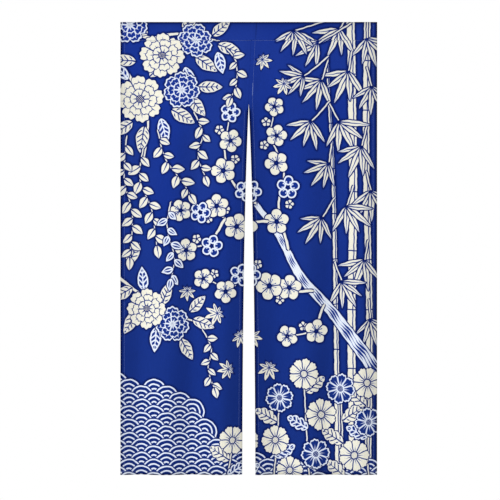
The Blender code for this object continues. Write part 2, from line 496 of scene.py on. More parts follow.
def place_on_stem(motif, points):
    """(distance along, signed distance across, half width there) of points from a stem's nearest part."""
    a, b = motif.path[:-1], motif.path[1:]
    step = b - a
    length = np.hypot(step[:, 0], step[:, 1])
    starts = np.concatenate([[0.0], np.cumsum(length)[:-1]])
    away = points[:, None, :] - a[None]
    share = np.clip((away * step).sum(axis=2) / (length ** 2), 0.0, 1.0)
    off = away - share[..., None] * step
    distance = np.hypot(off[..., 0], off[..., 1])
    best = distance.argmin(axis=1)
    row = np.arange(len(points))
    side = np.sign(step[best, 0] * away[row, best, 1] - step[best, 1] * away[row, best, 0])
    width = motif.widths[best] + share[row, best] * (motif.widths[best + 1] - motif.widths[best])
    along = starts[best] + share[row, best] * length[best]
    return along, np.where(side < 0, -1.0, 1.0) * distance[row, best], width


WANDER, WANDER_FINE, OUTLINE_REACH = 0.00055, 0.00030, 1.05


def hand_cut(places):
    """Places shifted by up to a millimetre by slow sines, as a hand-cut outline wanders. The
    numbers inside the sines are radians per metre."""
    x, y = places[..., 0], places[..., 1]
    shift_x = WANDER * np.sin(151.0 * y + 2.0 * np.sin(63.0 * x)) + WANDER_FINE * np.sin(337.0 * y + 90.0 * x)
    shift_y = WANDER * np.sin(163.0 * x + 2.0 * np.sin(71.0 * y)) + WANDER_FINE * np.sin(311.0 * x - 85.0 * y)
    return places + np.stack([shift_x, shift_y], axis=-1)


def print_attributes(corners):
    """Finds the topmost motifs on every face, from its corners' places. Layer 0 is the top.

    Gives every face corner, for each layer, the place in the motif with its size, the
    motif's kind, count and style, and how far the corner is inside it. Gives besides how
    far the corner is inside the nearest outline of all, which is below 0 outside.
    """
    corners = hand_cut(corners)
    middle = corners.mean(axis=1)
    places, kinds = np.zeros((2, LAYERS, len(corners), 4, 3))
    depths, nearest = np.full((LAYERS, len(corners), 4), -1.0), np.full((len(corners), 4), -1.0)
    for motif in motifs:
        if motif.kind == STEM:
            reach = motif.widths.max() + HALO + CELL
            least, most = motif.path.min(axis=0) - reach, motif.path.max(axis=0) + reach
        else:
            reach = motif.size * OUTLINE_REACH + HALO + CELL
            least, most = motif.at - reach, motif.at + reach
        picked = np.flatnonzero(((middle > least) & (middle < most)).all(axis=1))
        if not len(picked):
            continue
        points = corners[picked].reshape(-1, 2)
        if motif.kind == STEM:
            along, across, size = place_on_stem(motif, points)
            inside = size - np.abs(across)
        else:
            cos, sin = np.cos(motif.turn), np.sin(motif.turn)
            away = points - motif.at
            along = away[:, 0] * cos + away[:, 1] * sin
            across = away[:, 1] * cos - away[:, 0] * sin
            size = np.full(len(points), motif.size)
            inside = outline_inside(motif.kind, along / size, across / size, motif.count) * size
        inside = inside.reshape(-1, 4)
        nearest[picked] = np.maximum(nearest[picked], inside)
        touched = inside.max(axis=1) > -CUT
        picked = picked[touched]
        here = np.stack([along, across, size], axis=1).reshape(-1, 4, 3)[touched]
        for layers, top in ((places, here), (kinds, (motif.kind, motif.count, motif.style)),
                            (depths, inside[touched])):
            layers[1:, picked] = layers[:-1, picked]
            layers[0, picked] = top
    made = {"nearest": nearest}
    for layer in range(LAYERS):
        made[f"place_{layer}"], made[f"kind_{layer}"] = places[layer], kinds[layer]
        made[f"inside_{layer}"] = depths[layer]
    return made


# What is printed, from the back of the picture to the front: bamboo down the right side,
# a plum trunk that rises from it across the slit, camellias at the top left with small
# leaves hanging from them, drifting maple leaves, wave scales at the foot and cosmos.
# A motif is solid unless its row says OPEN.
rng = np.random.default_rng(7)
BAMBOO_FAN, BAMBOO_FAN_LEAVES, BAMBOO_LEAF_WIDTH = 116.0, 5, 0.092
OUTER_LEAF_SHORTER, LEAF_LENGTH_VARIES, LEAF_TURN_VARIES = 0.3, 0.1, 4
FAN_BELOW_JOINT, FAN_BEND = 0.065, 0.030
BUD, TWIG, THIN_STEM = 0.0150, (0.0046, 0.0018), (0.0026, 0.0022)
TRUNK, BARK, THICK_BRANCH, BRANCH = (0.024, 0.008), -1.0, (0.0065, 0.0030), (0.0055, 0.0026)
CAMELLIA_LEAF_WIDTH, COSMOS_LEAF_WIDTH = 0.24, 0.27
SPRAY_STEM, SPRAY_TAPER, SPRAY_SPACING, SPRAY_LAST_GAP, SPRAY_LEAF_WIDTH = 0.0023, 0.7, 0.027, 0.4, 0.30
SPRAY_LEAF_SIZES, SPRAY_LEAF_TURNS = (0.85, 1.1), (42, 62)


def add_bamboo_leaves(at, turn, length):
    """A fan of five long narrow leaves from one point."""
    for leaf in range(BAMBOO_FAN_LEAVES):
        share = leaf / (BAMBOO_FAN_LEAVES - 1) - 0.5
        size = length * (1.0 - OUTER_LEAF_SHORTER * abs(share) + LEAF_LENGTH_VARIES * rng.uniform(-1, 1))
        aim = turn + BAMBOO_FAN * share + rng.uniform(-LEAF_TURN_VARIES, LEAF_TURN_VARIES)
        add_motif(LEAF, at, size, aim, BAMBOO_LEAF_WIDTH)


def add_spray(points, leaf, style=SOLID):
    """A thin stem with leaves by turns on either side of it, and one at its tip."""
    path = add_stem(points, SPRAY_STEM, SPRAY_STEM * SPRAY_TAPER)
    step = np.diff(path, axis=0)
    along = np.concatenate([[0.0], np.cumsum(np.hypot(step[:, 0], step[:, 1]))])
    heading = np.degrees(np.arctan2(step[:, 1], step[:, 0]))
    side = 1.0
    for stop in np.arange(SPRAY_SPACING, along[-1] - SPRAY_SPACING * SPRAY_LAST_GAP, SPRAY_SPACING):
        i = min(int(np.searchsorted(along, stop)), len(step) - 1)
        size = leaf * rng.uniform(*SPRAY_LEAF_SIZES)
        turn = heading[i] + side * rng.uniform(*SPRAY_LEAF_TURNS)
        add_motif(LEAF, path[i], size, turn, SPRAY_LEAF_WIDTH, style)
        side = -side
    add_motif(LEAF, path[-1], leaf, heading[-1], SPRAY_LEAF_WIDTH, style)


def add_twig(points, blossoms, buds):
    """A tapering plum twig. blossoms are (share of its length, shift, radius) and buds are
    (share, shift)."""
    path = add_stem(points, *TWIG)
    for share, shift, radius, *style in [(*bud, BUD) for bud in buds] + list(blossoms):
        at = path[int(share * (len(path) - 1))] + np.array(shift)
        add_motif(BLOSSOM, at, radius, rng.uniform(0, 72), BLOSSOM_PETALS, *style)


# Bamboo culms: path, half widths, distance between joints
CULMS = (
    (((0.394, 0.12), (0.388, -0.45), (0.398, -1.00), (0.392, -1.54)), 0.0105, 0.0110, 0.165),
    (((0.335, 0.12), (0.344, -0.50), (0.336, -1.02), (0.343, -1.54)), 0.0130, 0.0135, 0.195),
    (((0.258, -0.11), (0.276, -0.50), (0.283, -1.00), (0.290, -1.54)), 0.0036, 0.0100, 0.150),
)
for points, start_width, end_width, joints in CULMS:
    add_stem(points, start_width, end_width, SOLID, joints)


def nearest_culm(x, y):
    """Where the nearest culm that reaches up to y stands, between the points of its path."""
    standing = [np.array(points) for points, *_ in CULMS if points[0][1] > y]
    places = [np.interp(-y, -path[:, 1], path[:, 0]) for path in standing]
    return min(places, key=lambda place: abs(place - x))


# Leaf fans of the bamboo: place, turn, leaf length
for x, y, turn, length in (
    (0.300, -0.025, -118, 0.105), (0.392, -0.055, -72, 0.100), (0.225, -0.070, -150, 0.095),
    (0.330, -0.165, -112, 0.110), (0.408, -0.215, -95, 0.092), (0.240, -0.195, -128, 0.100),
    (0.300, -0.330, -62, 0.108), (0.205, -0.330, -112, 0.095), (0.372, -0.415, -115, 0.102),
    (0.262, -0.470, -132, 0.100), (0.405, -0.560, -88, 0.095), (0.322, -0.610, -66, 0.108),
    (0.236, -0.650, -122, 0.098), (0.382, -0.790, -112, 0.100), (0.305, -0.860, -64, 0.098),
    (0.402, -0.985, -80, 0.090), (0.180, -0.180, -160, 0.085), (0.150, -0.030, -95, 0.090),
):
    culm = nearest_culm(x, y + FAN_BELOW_JOINT)
    path = ((culm, y + FAN_BELOW_JOINT), ((culm + x) / 2, y + FAN_BEND), (x, y))
    add_stem(path, *THIN_STEM)
    add_bamboo_leaves((x, y), turn, length)

# The plum: its trunk, then its twigs
add_stem(((0.45, -1.19), (0.34, -1.05), (0.26, -0.95), (0.16, -0.84), (0.09, -0.71), (0.01, -0.60)),
         *TRUNK, OPEN, BARK)
for points, blossoms, buds in (
    (((0.01, -0.60), (-0.05, -0.52), (-0.075, -0.42), (-0.06, -0.31)),
     ((0.18, (0.022, 0.0), 0.036, OPEN), (0.42, (-0.016, 0.0), 0.042),
      (0.72, (0.018, 0.004), 0.038), (1.0, (0.0, 0.010), 0.034, OPEN)),
     ((0.58, (0.034, -0.01)), (0.86, (-0.026, 0.0)))),
    (((0.12, -0.75), (0.09, -0.61), (0.11, -0.49), (0.07, -0.38), (0.085, -0.29)),
     ((0.20, (-0.016, 0.0), 0.042), (0.44, (0.022, 0.0), 0.040, OPEN),
      (0.62, (-0.020, 0.0), 0.040), (0.82, (0.018, 0.004), 0.036),
      (1.0, (0.0, 0.010), 0.032)),
     ((0.32, (0.036, 0.0)), (0.74, (-0.034, 0.004)), (0.92, (-0.020, 0.0)))),
    (((0.05, -0.66), (-0.05, -0.66), (-0.13, -0.61), (-0.21, -0.63)),
     ((0.28, (0.0, -0.014), 0.044), (0.58, (0.004, 0.016), 0.040),
      (0.80, (0.0, -0.020), 0.036, OPEN), (1.0, (-0.010, 0.006), 0.036)),
     ((0.44, (0.0, 0.032)), (0.70, (0.0, -0.040)))),
    (((0.20, -0.89), (0.10, -0.89), (0.02, -0.84), (-0.05, -0.88), (-0.13, -0.85)),
     ((0.22, (0.0, 0.014), 0.042), (0.44, (0.0, -0.016), 0.046),
      (0.66, (0.0, 0.018), 0.038, OPEN), (0.82, (0.004, -0.014), 0.038),
      (1.0, (-0.010, 0.0), 0.034)),
     ((0.33, (0.0, -0.034)), (0.58, (0.0, 0.038)), (0.92, (0.0, 0.030)))),
    (((-0.07, -0.655), (-0.12, -0.73), (-0.20, -0.75)),
     ((0.55, (0.008, -0.012), 0.038, OPEN), (1.0, (0.0, -0.006), 0.038)),
     ((0.80, (0.0, 0.026)),)),
    (((0.24, -0.94), (0.20, -1.02), (0.12, -1.04)),
     ((0.50, (0.010, -0.008), 0.040), (1.0, (-0.006, 0.0), 0.036)),
     ((0.75, (0.0, 0.026)),)),
):
    add_twig(points, blossoms, buds)

# Camellia branches, their leaves (place, turn, length) and blooms (place, radius, petals)
add_stem(((-0.45, 0.03), (-0.34, -0.05), (-0.24, -0.04), (-0.11, -0.06)), *THICK_BRANCH)
add_stem(((-0.45, -0.09), (-0.385, -0.20), (-0.335, -0.32), (-0.345, -0.45)), *BRANCH)
add_stem(((-0.45, -0.83), (-0.36, -0.90), (-0.27, -0.965), (-0.17, -0.99)), *BRANCH)
for x, y, turn, length, *style in (
    (-0.215, -0.030, 60, 0.085), (-0.250, 0.010, 110, 0.080, OPEN), (-0.180, -0.115, -35, 0.085),
    (-0.215, -0.150, -70, 0.085, OPEN), (-0.110, -0.075, -20, 0.080), (-0.120, -0.045, 40, 0.075),
    (-0.110, -0.100, -75, 0.075, OPEN), (-0.335, -0.040, 150, 0.080), (-0.375, -0.130, 175, 0.080),
    (-0.255, -0.290, -30, 0.090), (-0.290, -0.320, -75, 0.085, OPEN), (-0.385, -0.330, 215, 0.080),
    (-0.345, -0.345, -100, 0.090), (-0.195, -0.250, -50, 0.080), (-0.170, -0.215, 0, 0.080),
    (-0.330, -0.180, 40, 0.075), (-0.400, -0.190, 130, 0.070, OPEN), (-0.400, 0.040, 80, 0.080),
    (-0.280, -0.935, 70, 0.080), (-0.345, -0.890, 95, 0.080, OPEN), (-0.385, -0.880, -150, 0.080),
    (-0.370, -0.960, -120, 0.085), (-0.175, -0.985, -20, 0.080), (-0.185, -0.960, 45, 0.075),
    (-0.215, -1.050, -60, 0.080), (-0.300, -1.010, -95, 0.085, OPEN), (-0.400, -0.800, 60, 0.080),
):
    add_motif(LEAF, (x, y), length, turn, CAMELLIA_LEAF_WIDTH, *style)
for x, y, radius, count, *style in (
    (-0.395, -0.010, 0.060, 7, OPEN), (-0.180, -0.060, 0.056, 7, OPEN), (-0.225, -0.225, 0.060, 7, OPEN),
    (-0.290, -0.110, 0.072, 8), (-0.360, -0.255, 0.076, 8), (-0.245, -1.000, 0.058, 7, OPEN),
    (-0.335, -0.950, 0.066, 8),
):
    add_motif(CAMELLIA, (x, y), radius, rng.uniform(0, 50), count, *style)

# Small leaves that hang in sprays: path, leaf length
for points, leaf, *style in (
    (((-0.300, -0.36), (-0.275, -0.45), (-0.215, -0.53), (-0.190, -0.57)), 0.042),
    (((-0.350, -0.42), (-0.360, -0.52), (-0.320, -0.62), (-0.300, -0.74)), 0.044),
    (((-0.405, -0.38), (-0.412, -0.52), (-0.385, -0.64), (-0.392, -0.78)), 0.042),
    (((-0.180, -0.30), (-0.150, -0.37), (-0.165, -0.44), (-0.140, -0.51)), 0.038),
    (((-0.255, -0.60), (-0.265, -0.68), (-0.240, -0.78), (-0.250, -0.85)), 0.040, OPEN),
    (((-0.080, -0.09), (-0.050, -0.13), (-0.045, -0.20), (-0.060, -0.25)), 0.036),
    (((-0.140, -1.02), (-0.110, -1.08), (-0.120, -1.15), (-0.100, -1.21)), 0.038),
):
    add_spray(points, leaf, *style)

# Drifting maple leaves: place, radius, turn
for x, y, radius, turn in (
    (-0.090, -0.965, 0.046, 200), (-0.010, -1.040, 0.042, 300), (0.050, -1.145, 0.046, 250),
    (-0.050, -1.150, 0.040, 190), (0.115, -0.205, 0.040, 240), (0.040, -0.125, 0.036, 310),
    (-0.195, -0.890, 0.036, 270),
):
    add_motif(MAPLE, (x, y), radius, turn)

# Wave scales along the foot, upper rows first. Their crest falls from the left to the right.
WAVE_RADIUS, WAVE_ROWS, WAVE_COLUMNS, WAVES_TOP = 0.044, 18, range(-11, 12), -1.16
CREST_HEIGHT, CREST_FALL, CREST_FALLS_AT, CREST_SWAY = -1.345, 0.16, -0.12, 0.02
for row in range(WAVE_ROWS):
    y = WAVES_TOP - row * WAVE_RADIUS * 0.5
    for column in WAVE_COLUMNS:
        x = (column + 0.5 * (row % 2)) * 2.0 * WAVE_RADIUS
        fall = CREST_FALL * np.tanh((x - CREST_FALLS_AT) * 6.0)
        crest = CREST_HEIGHT - fall + CREST_SWAY * np.sin(x * 21.0)
        if y < crest:
            add_motif(WAVE, (x, y), WAVE_RADIUS, 90.0)

# Cosmos: stems, their leaves (place, turn, length), then blooms (place, radius, petals)
for points in (((0.06, -1.54), (0.075, -1.40), (0.085, -1.25)), ((0.19, -1.54), (0.18, -1.38), (0.17, -1.18)),
               ((0.31, -1.54), (0.305, -1.38), (0.30, -1.24)), ((0.40, -1.54), (0.385, -1.38), (0.39, -1.20)),
               ((-0.06, -1.54), (-0.04, -1.44), (-0.035, -1.38))):
    add_stem(points, *THIN_STEM)
for x, y, turn, size, *style in (
    (0.075, -1.325, 150, 0.085), (0.178, -1.225, 38, 0.080), (0.183, -1.345, 152, 0.080, OPEN),
    (0.305, -1.320, 34, 0.085), (0.385, -1.270, 140, 0.075), (0.305, -1.395, 148, 0.085),
    (0.390, -1.375, 155, 0.080, OPEN), (0.188, -1.470, 30, 0.085), (-0.045, -1.450, 148, 0.080),
    (0.068, -1.440, 28, 0.080, OPEN), (0.310, -1.505, 140, 0.080), (-0.050, -1.500, 30, 0.075, OPEN),
):
    add_motif(TOOTHED, (x, y), size, turn, COSMOS_LEAF_WIDTH, *style)
for x, y, radius, count, *style in (
    (0.170, -1.165, 0.050, 9), (0.390, -1.195, 0.050, 9), (0.297, -1.215, 0.050, 8, OPEN),
    (0.085, -1.245, 0.048, 8, OPEN), (0.230, -1.300, 0.052, 9), (0.395, -1.325, 0.048, 8, OPEN),
    (0.070, -1.385, 0.048, 8), (0.345, -1.435, 0.052, 9), (-0.035, -1.385, 0.046, 8),
    (0.210, -1.430, 0.050, 8, OPEN), (0.120, -1.485, 0.046, 9),
):
    add_motif(COSMOS, (x, y), radius, rng.uniform(0, 40), count, *style)


def ink_edge(inside):
    """1 inside an outline and 0 outside, over a soft edge. inside is in metres."""
    return limited(inside / SOFT_EDGE + 0.5)


def is_kind(kind, number):
    """1 where a motif is of the kind with that number."""
    return less(number - 0.5, kind) * less(kind, number + 0.5)


def off_line(value):
    """How far a value is from the nearest of the lines at 0.5, 1.5, 2.5 and so on."""
    return abs(value - floor_of(value) - 0.5)


def off_parting(reach, share, petals, size):
    """Distance in metres from the line that parts two petals."""
    return reach * sine((0.5 - abs(share)) * (2.0 * np.pi / petals)) * size


def dotted(x, y, size, close):
    """Dots in rows: the product of a sine across and a sine down."""
    return sine(x * size * close) * sine(y * size * close)


def drawn_stem(x, y, size, count, line):
    """Bare, or a culm with a line at each joint and one along it, or a trunk with broken streaks,
    which waver by sines of so many radians per metre."""
    joint_line, lit_side, bark_waver, streaks, streak_waver = 0.0020, 0.35, 0.0016, 2.2, 0.3
    culm = ink_edge(off_line(x / high(count, 0.01)) * count - joint_line)
    culm = culm * ink_edge(abs(y - size * lit_side) - line)
    streak = off_line(y / size * streaks + sine(x * 70.0) * streak_waver) * size / streaks
    bark = ink_edge(streak - line - sine(x * 83.0 + y * 40.0) * bark_waver)
    return (1.0 - less(0.02, count) * (1.0 - culm)) * (1.0 - less(count, -0.02) * (1.0 - bark))


def drawn_leaf(x, y, size, width, inside, line):
    """A midrib that tapers to the tip, and on large broad leaves side veins that stop short of the edge."""
    short_of_edge, narrow, small = 0.0034, 0.15, 0.055
    rib_end, rib_wide, vein_slant, vein_wide, veins_from = 1.15, 1.2, 0.9, 1.3, 0.16
    rib = abs(y) * size - (rib_end - x) * line * rib_wide
    vein = off_line((x - abs(y) * vein_slant) * (size / VEIN_PITCH)) * VEIN_PITCH - line * vein_wide
    vein = high(high(vein, short_of_edge - inside), (veins_from - x) * size)
    return ink_edge(low(rib, vein + less(width, narrow) + less(size, small)))


def drawn_blossom(x, y, size, line):
    """Round petals parted by lines, with stamens, their tips and a ring round the middle."""
    stamens, stamen_half, tip_radius, ring_half, small = 10, 0.0010, 0.0020, 0.0017, 0.02
    ring_at, stamen_from, stamen_to, tip_at = 0.17, 0.22, 0.46, 0.50
    reach, share = round_petals(x, y, BLOSSOM_PETALS, 0.0)
    ink = ink_edge(off_parting(reach, share, BLOSSOM_PETALS, size) - line)
    reach, fine = round_petals(x, y, stamens, 0.5)
    aside = abs(fine) * reach * (2.0 * np.pi / stamens) * size
    stamen = high(aside - stamen_half, high(reach - stamen_to, stamen_from - reach) * size)
    tip = reach_of((reach - tip_at) * size, aside) - tip_radius
    middle = abs(reach - ring_at) * size - ring_half
    return ink * (1.0 - less(small, size) * (1.0 - ink_edge(low(low(stamen, tip), middle))))


STROKE_WIDTH, STROKES_SHORTEN, STROKES_TAPER_OVER, STROKE_WIDEST = 0.0040, 0.7, 0.9, 0.85
COSMOS_EYE, COSMOS_EYE_ROOM, COSMOS_DOTS = 0.20, 0.27, (1100.0, 0.50)
CAMELLIA_TUFT, CAMELLIA_TUFT_ROOM, CAMELLIA_DOTS = 0.15, 0.18, (1000.0, 0.40)
RING_CUT, RING_NOTCH, RING_STROKE_END = 0.0030, 0.03, 0.80
# Inner rings of a camellia: petals, radius, turn, where its strokes begin, strokes on a petal
CAMELLIA_RINGS = ((7.0, 0.70, 0.3, 0.40, 3.0), (5.0, 0.42, 0.6, 0.16, 1.0))


def drawn_petals(x, y, size, petals, radius, turn, inner, strokes, stroke_end, line):
    """One ring of petals: parted by lines, with tapering strokes from its base."""
    reach, share = round_petals(x, y, petals, turn)
    stroke = share * strokes
    stroke = (stroke - floor_of(stroke + 0.5)) * reach * (2.0 * np.pi / strokes / petals) * size
    tip = radius * (stroke_end - abs(share) * STROKES_SHORTEN)
    taper = (tip - reach) * (STROKE_WIDTH / (radius * STROKES_TAPER_OVER - inner))
    petal = ink_edge(off_parting(reach, share, petals, size) - line)
    return petal * ink_edge(abs(stroke) - low(taper, line * STROKE_WIDEST))


def drawn_cosmos(x, y, size, petals, line):
    """One ring of petals, each with a stroke, round a dotted eye."""
    ink = drawn_petals(x, y, size, petals, radius=1.0, turn=0.0, inner=0.25, strokes=1.0,
                       stroke_end=0.62, line=line)
    reach = reach_of(x, y)
    close, level = COSMOS_DOTS
    eye = ink_edge((COSMOS_EYE - reach) * size) * (1.0 - less(level, dotted(x, y, size, close)))
    return eye + less(COSMOS_EYE_ROOM, reach) * ink


def drawn_camellia(x, y, size, petals, line):
    """Three rings of petals, each over the one outside it, round a tuft of stamens."""
    ink = drawn_petals(x, y, size, petals, radius=1.0, turn=0.0, inner=0.62, strokes=3.0,
                       stroke_end=0.85, line=line)
    for petals, radius, turn, inner, strokes in CAMELLIA_RINGS:
        inside = ring_inside(x, y, petals, radius, turn, RING_NOTCH) * size
        ring = drawn_petals(x, y, size, petals, radius, turn, inner, strokes, RING_STROKE_END, line)
        ink = ink + less(-RING_CUT, inside) * (ink_edge(inside) * ring - ink)
    reach = reach_of(x, y)
    close, level = CAMELLIA_DOTS
    tuft = ink_edge((CAMELLIA_TUFT - reach) * size) * less(level, dotted(x, y, size, close))
    return tuft + less(CAMELLIA_TUFT_ROOM, reach) * ink


def drawn_maple(x, y, size, line):
    """A vein down each lobe."""
    vein_wide, vein_end = 0.7, 0.58
    reach, share = round_petals(x, y, MAPLE_LOBES, 0.0)
    vein = abs(share) * reach * (2.0 * np.pi / MAPLE_LOBES) * size - line * vein_wide
    return ink_edge(high(vein, (reach - vein_end) * size))


def drawn_wave(x, y, size):
    """Rings one inside the other."""
    pitch, half_width, first_ring = 0.0146, 0.0025, 0.17
    rings = (size - reach_of(x, y) * size) / pitch
    return ink_edge(half_width - abs(rings - floor_of(rings) - first_ring) * pitch)


# Ink and bare cotton as they come out on the right side and, paler, on the wrong side. The
# blue is painted darker towards the foot as painted shade, the ink gathers along the
# stencil's edges, painted shade darkens it along the hems, and it bleeds a little into bare cotton.
INK, COTTON = (0.0067, 0.0285, 0.264, 1.0), (0.80, 0.780, 0.665, 1.0)
INK_THIN, INK_SHADED_AT_FOOT = (0.0125, 0.0380, 0.264, 1.0), (0.0070, 0.0268, 0.187, 1.0)
INK_THROUGH, COTTON_THROUGH = (0.085, 0.135, 0.42, 1.0), (0.60, 0.60, 0.56, 1.0)
INK_GATHERED_AND_SHADED = (0.0006, 0.0045, 0.080, 1.0)
INK_BLED, COTTON_BLED = (0.32, 0.42, 0.76, 1.0), (0.74, 0.81, 0.93, 1.0)
# The darkest ink also serves as painted shade along the hems, which ends over the hem distances below.
INK_GATHERS_OVER, WELL_IN, HEM_EDGE_SHADE_ENDS, HEM_EDGE_SHADE_FULL, HALO_FULL = 0.0055, 0.0030, 0.0068, 1.45, 1.15
GATHERED_AND_SHADED_MOST, LINES_BLED, EDGES_BLED = 0.95, 0.85, 3.2
WAVES_GATHER_LESS, LINES_LIGHTER, LINES_LIGHTER_FROM = 0.5, 0.40, 0.2
THIN_CONTRAST, THIN_LEVEL, PATCHES_VARY, YARNS_VARY = 2.4, 0.7, 0.18, 0.22
# Painted shade along the cloth's edges: a narrow and a broad darkening, each halving over its distance from
# the edge.
EDGE_SHADE_OVER, EDGE_SHADE_DARKER, BARE_SPARED, CURL_SHADE_OVER, CURL_SHADE_DARKER = 0.0040, 0.40, 0.22, 0.016, 0.22
COTTON_ROUGHNESS, BARE_SMOOTHER, YARNS_ROUGHEN, WEAVE_BUMP = 0.93, 0.06, 0.10, (0.35, 0.0004)
# Noises: scale, stretch along each axis, detail
THIN_PATCHES = (4.5, (1.0, 1.0, 0.8), 1.0)
UNEVEN_PATCHES = (9.0, (1.0, 1.0, 0.6), 3.0)
YARNS_DOWN, YARNS_ACROSS = (900.0, (1.0, 1.0, 0.06), 2.0), (900.0, (0.06, 1.0, 1.0), 2.0)
COTTON_FINISH = (("Specular IOR Level", 0.03), ("Sheen Weight", 0.015), ("Sheen Roughness", 0.5))


def new_material(name):
    """(material, its node tree, its Principled shader)"""
    material = bpy.data.materials.new(name)
    material.use_nodes = True
    return material, material.node_tree, material.node_tree.nodes["Principled BSDF"]


def add_bump(tree, shader, height, strength, distance):
    """Lets a height tilt the shader's surface."""
    bump = tree.nodes.new("ShaderNodeBump")
    bump.inputs["Strength"].default_value = strength
    bump.inputs["Distance"].default_value = distance
    tree.links.new(height.socket, bump.inputs["Height"])
    tree.links.new(bump.outputs["Normal"], shader.inputs["Normal"])


def mixed(tree, factor, first, second, blend="MIX"):
    """Two colours mixed by a factor, or blended by it."""
    node = tree.nodes.new("ShaderNodeMix")
    node.data_type = "RGBA"
    node.blend_type = blend
    for slot, value in ((0, factor), (6, first), (7, second)):
        set_or_link(tree, node.inputs[slot], value)
    return Wire(tree, node.outputs[2])


def printed_cotton():
    """Plain-weave cotton: bare where the stencil covered it, blue elsewhere, and darker along
    the stencil's edges, where the ink gathers. Fine bare lines and the print's edges are a bluish
    white. Yarns of uneven thickness and patches of uneven ink vary both colours. Painted shade
    darkens the hems and the cloth's edges, and the blue is painted darker towards the foot as
    painted shade. The wrong side is paler."""
    material, tree, shader = new_material("printed_cotton")

    def attribute(name, output="Vector"):
        node = tree.nodes.new("ShaderNodeAttribute")
        node.attribute_name = name
        return Wire(tree, node.outputs[output])

    def parts_of(vector):
        split = tree.nodes.new("ShaderNodeSeparateXYZ")
        tree.links.new(vector.socket, split.inputs[0])
        return [Wire(tree, output) for output in split.outputs]

    def topmost(title):
        """The three numbers of the topmost layer that a point is on."""
        vector = attribute(f"{title}_{LAYERS - 1}")
        for layer in reversed(range(LAYERS - 1)):
            node = tree.nodes.new("ShaderNodeMix")
            node.data_type = "VECTOR"
            on_layer = less(-CUT, attribute(f"inside_{layer}", "Fac"))
            for slot, value in ((0, on_layer), (4, vector), (5, attribute(f"{title}_{layer}"))):
                set_or_link(tree, node.inputs[slot], value)
            vector = Wire(tree, node.outputs[1])
        return parts_of(vector)

    coordinates = Wire(tree, tree.nodes.new("ShaderNodeTexCoord").outputs["Object"])

    def noise(scale, stretch, detail):
        mapping = tree.nodes.new("ShaderNodeMapping")
        mapping.inputs["Scale"].default_value = stretch
        tree.links.new(coordinates.socket, mapping.inputs["Vector"])
        texture = tree.nodes.new("ShaderNodeTexNoise")
        texture.inputs["Scale"].default_value = scale
        texture.inputs["Detail"].default_value = detail
        tree.links.new(mapping.outputs["Vector"], texture.inputs["Vector"])
        return Wire(tree, texture.outputs["Fac"])

    nearest, edge, wrong_side = [attribute(name, "Fac") for name in ("nearest", "from_edge", "wrong_side")]
    along, across, size = topmost("place")
    kind, count, style = topmost("kind")
    safe_size = high(size, 0.001)
    x, y = along / safe_size, across / safe_size
    petals = high(count, 5.0)
    line = LINE + style * LINE_WIDER_IN_OPEN
    is_stem, is_wave = is_kind(kind, STEM), is_kind(kind, WAVE)
    inside = is_stem * (size - abs(across) + 1.0) - 1.0
    details = is_stem * drawn_stem(along, across, safe_size, count, line)
    for number, draw in (
        (LEAF, lambda: drawn_leaf(x, y, safe_size, count, reach, line)),
        (TOOTHED, lambda: drawn_leaf(x, y, safe_size, count, reach, line)),
        (BLOSSOM, lambda: drawn_blossom(x, y, safe_size, line)),
        (COSMOS, lambda: drawn_cosmos(x, y, safe_size, petals, line)),
        (CAMELLIA, lambda: drawn_camellia(x, y, safe_size, petals, line)),
        (MAPLE, lambda: drawn_maple(x, y, safe_size, line)),
        (WAVE, lambda: drawn_wave(x, y, safe_size)),
    ):
        this = is_kind(kind, number)
        reach = outline_inside(number, x, y, petals if number in (COSMOS, CAMELLIA) else count) * size
        inside = inside + this * (reach + 1.0)
        details = details + this * draw()
    shape = ink_edge(inside - TRIMMED)
    filled = shape * details
    outlined = shape * (1.0 - ink_edge(inside - OUTLINE) * details)
    bare = filled + style * (outlined - filled)

    gathered_and_hem_shade = limited(1.0 + inside / INK_GATHERS_OVER) * (1.0 - is_wave * WAVES_GATHER_LESS)
    gathered_and_hem_shade = gathered_and_hem_shade * (1.0 - style * limited((inside - OUTLINE) / WELL_IN))
    gathered_and_hem_shade = gathered_and_hem_shade * (1.0 - limited(inside / WELL_IN - LINES_LIGHTER_FROM) * LINES_LIGHTER)
    halo = low(HALO_FULL + nearest / (HALO / HALO_FULL), 1.0) * (1.0 - limited(nearest / WELL_IN))
    # Painted shade: near the finished edges the blue is mixed towards the darkest ink, standing in for the
    # shade of the doubled, rolled hems.
    gathered_and_hem_shade = high(high(gathered_and_hem_shade, halo), low(HEM_EDGE_SHADE_FULL - edge / HEM_EDGE_SHADE_ENDS, 1.0))
    yarns = noise(*YARNS_DOWN) + noise(*YARNS_ACROSS)
    ink = mixed(tree, limited(noise(*THIN_PATCHES) * THIN_CONTRAST - THIN_LEVEL), INK, INK_THIN)
    # Painted shade: the blue darkens towards the foot, as if the light fell from above.
    ink = mixed(tree, parts_of(coordinates)[2] / -DROP, ink, INK_SHADED_AT_FOOT)
    ink = mixed(tree, gathered_and_hem_shade * GATHERED_AND_SHADED_MOST, ink, INK_GATHERED_AND_SHADED)
    cotton_here = mixed(tree, high(style, is_wave) * LINES_BLED, COTTON, COTTON_BLED)
    front = mixed(tree, bare, ink, cotton_here)
    front = mixed(tree, bare * (1.0 - bare) * EDGES_BLED, front, INK_BLED)
    through = mixed(tree, bare, INK_THROUGH, COTTON_THROUGH)
    colour = mixed(tree, wrong_side, front, through)
    shade = (noise(*UNEVEN_PATCHES) - 0.5) * PATCHES_VARY + (yarns - 1.0) * YARNS_VARY + 1.0
    # Painted shade of the rolled edges: darker within a few millimetres of an edge, less on bare cotton.
    shade = shade * (1.0 - worked("POWER", 0.5, edge / EDGE_SHADE_OVER) * (EDGE_SHADE_DARKER - bare * BARE_SPARED))
